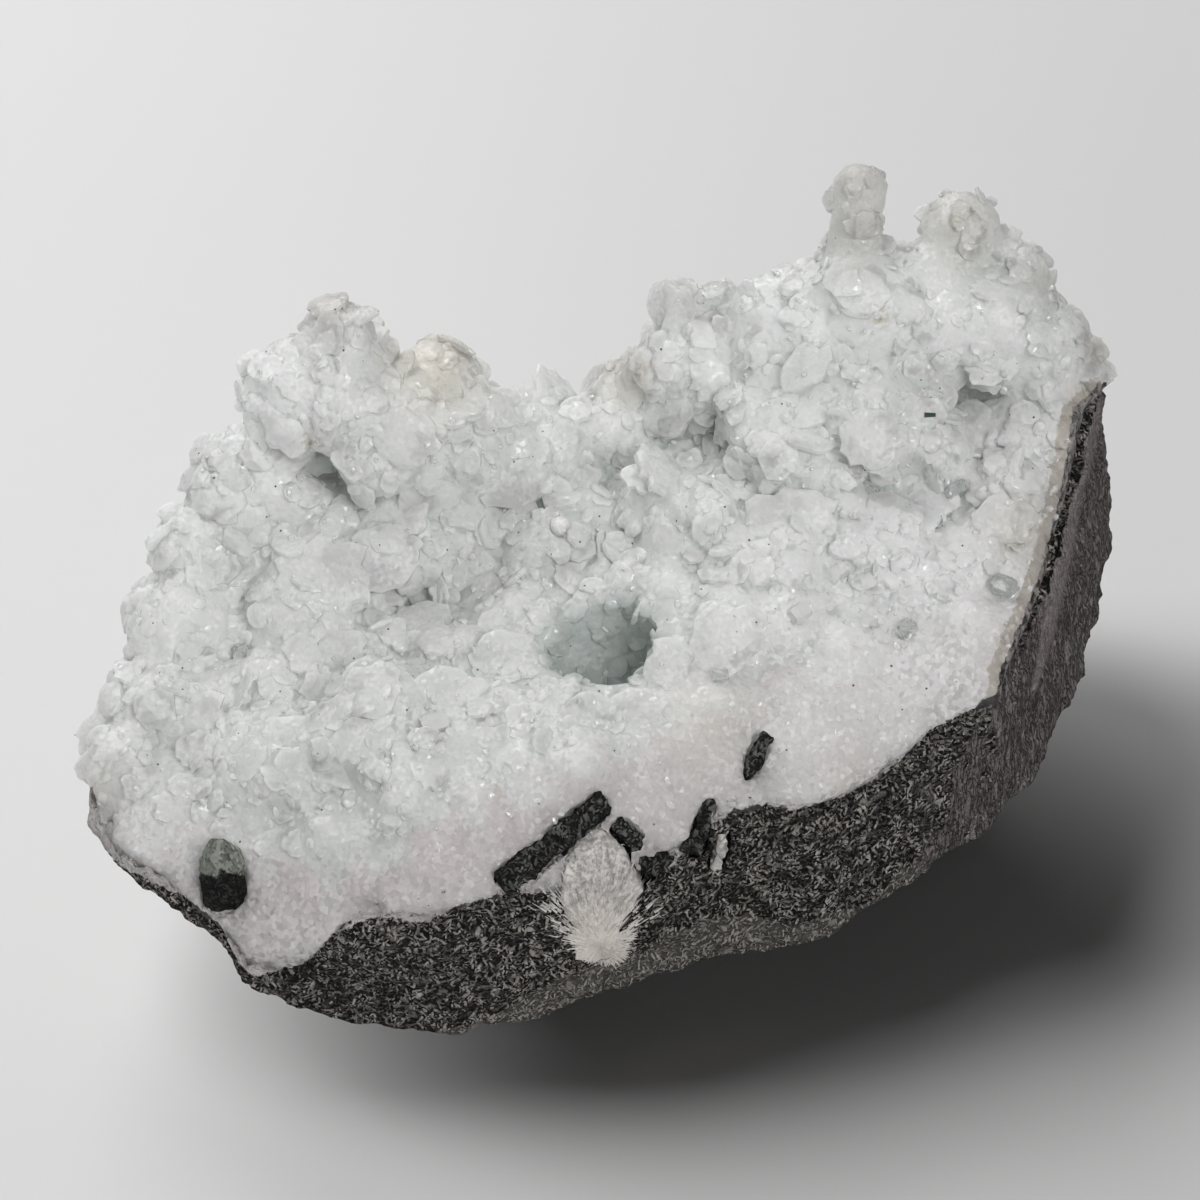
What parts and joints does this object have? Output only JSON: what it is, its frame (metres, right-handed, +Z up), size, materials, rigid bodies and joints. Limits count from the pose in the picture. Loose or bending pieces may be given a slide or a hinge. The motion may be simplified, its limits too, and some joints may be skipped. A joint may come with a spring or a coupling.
{
  "type": "prehnite with apophyllite cluster",
  "caption": "Hand specimen of pale botryoidal prehnite crust with small apophyllite crystals on a wedge of dark basalt, resting on a small flat spot.",
  "frame": {"origin": "middle of the specimen's bounding box, on the surface it rests on", "axes": "+Z up, +X along the broken front face to a viewer's right, +Y towards the specimen's back"},
  "size_m": [0.1046, 0.068, 0.065],
  "materials": {
    "basalt": "rough, granular",
    "prehnite": "waxy, translucent",
    "fibrous_mineral": "fibrous, matt",
    "white_vein": "matt",
    "apophyllite": "clear, glossy",
    "white_spherule": "satin"
  },
  "bodies": {
    "root": {"basalt_matrix": "basalt", "prehnite_crust": "prehnite", "basalt_chip": "basalt", "basalt_splinter_1": "basalt", "basalt_splinter_2": "basalt", "basalt_splinter_3": "basalt", "basalt_splinter_4": "basalt", "fibrous_patch": "fibrous_mineral", "white_veinlet": "white_vein", "apophyllite_1": "apophyllite", "apophyllite_2": "apophyllite", "apophyllite_3": "apophyllite", "apophyllite_4": "apophyllite", "apophyllite_5": "apophyllite", "apophyllite_6": "apophyllite", "apophyllite_7": "apophyllite", "apophyllite_8": "apophyllite", "apophyllite_9": "apophyllite", "white_spherule_1": "white_spherule", "white_spherule_2": "white_spherule", "white_spherule_3": "white_spherule", "white_spherule_4": "white_spherule", "white_spherule_5": "white_spherule", "white_spherule_6": "white_spherule"}
  },
  "joints": []
}
